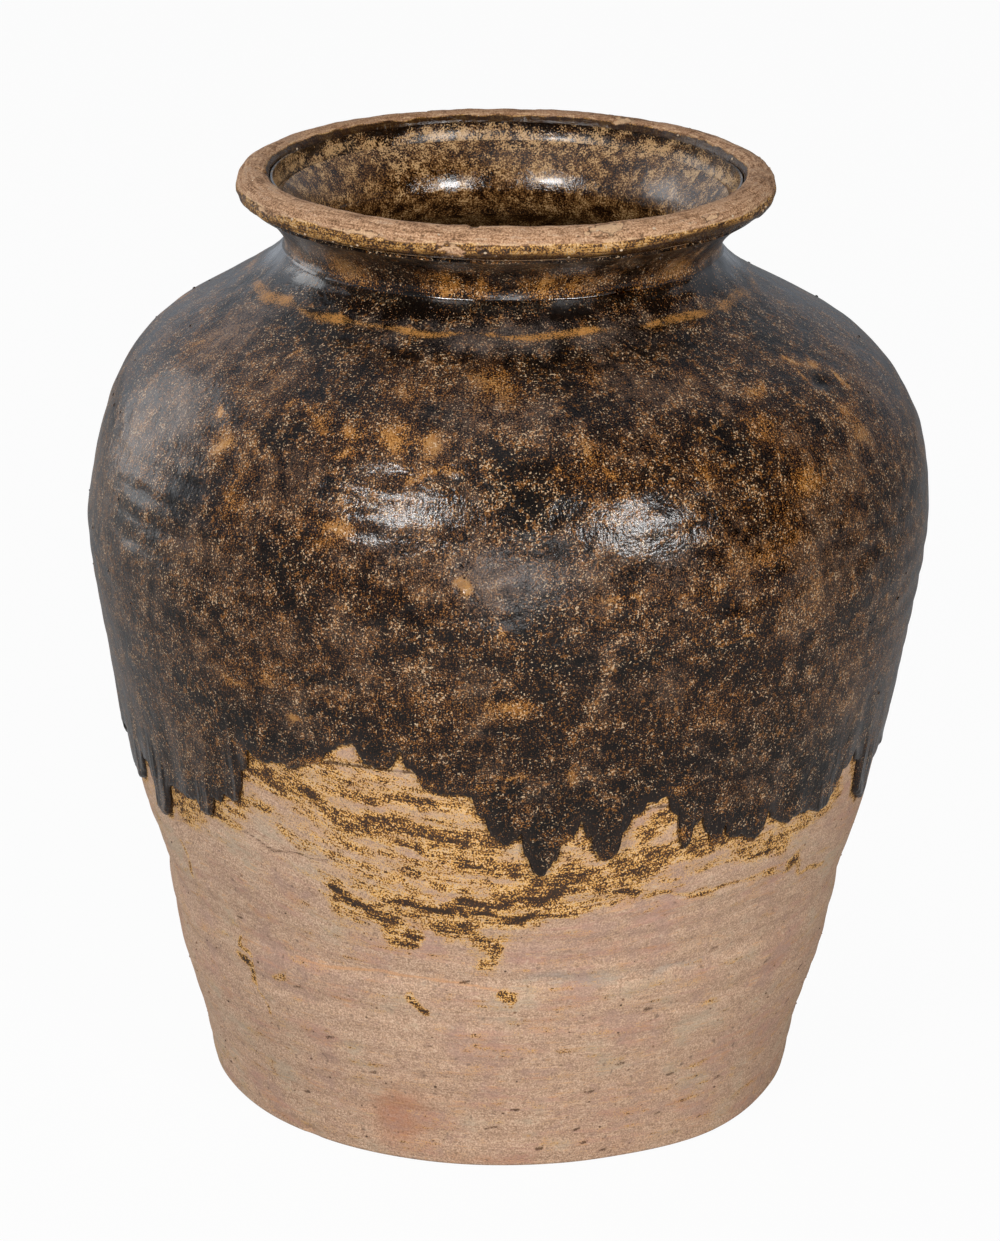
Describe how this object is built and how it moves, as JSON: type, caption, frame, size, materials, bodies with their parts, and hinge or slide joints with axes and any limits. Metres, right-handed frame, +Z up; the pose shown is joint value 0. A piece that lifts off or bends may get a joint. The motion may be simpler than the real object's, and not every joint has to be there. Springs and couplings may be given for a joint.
{
  "type": "storage pot",
  "caption": "Glazed stoneware storage pot with a flat narrow foot, wide high belly, short flared neck and rolled rim; open at the top, with no lid or handles.",
  "frame": {"origin": "centre of the flat underside of the foot, on the surface that the pot stands on", "axes": "+Z up through the mouth; the side shown in the picture faces -Y, with +X to its right"},
  "size_m": [0.2958, 0.295, 0.3293],
  "materials": {
    "bare_stoneware": "unglazed, wet-wiped, fired pinkish buff",
    "rim_stoneware": "unglazed, worn brown buff",
    "iron_brown_glaze": "glossy dark brown iron glaze with ochre specks",
    "lining_glaze": "thin glossy brown glaze"
  },
  "bodies": {
    "root": {"base_slab": "bare_stoneware", "lower_wall": "bare_stoneware", "middle_wall": "bare_stoneware", "shoulder_wall": "bare_stoneware", "neck_collar": "bare_stoneware", "rim_roll": "rim_stoneware", "outer_glaze": "iron_brown_glaze", "inner_glaze": "lining_glaze"}
  },
  "joints": []
}
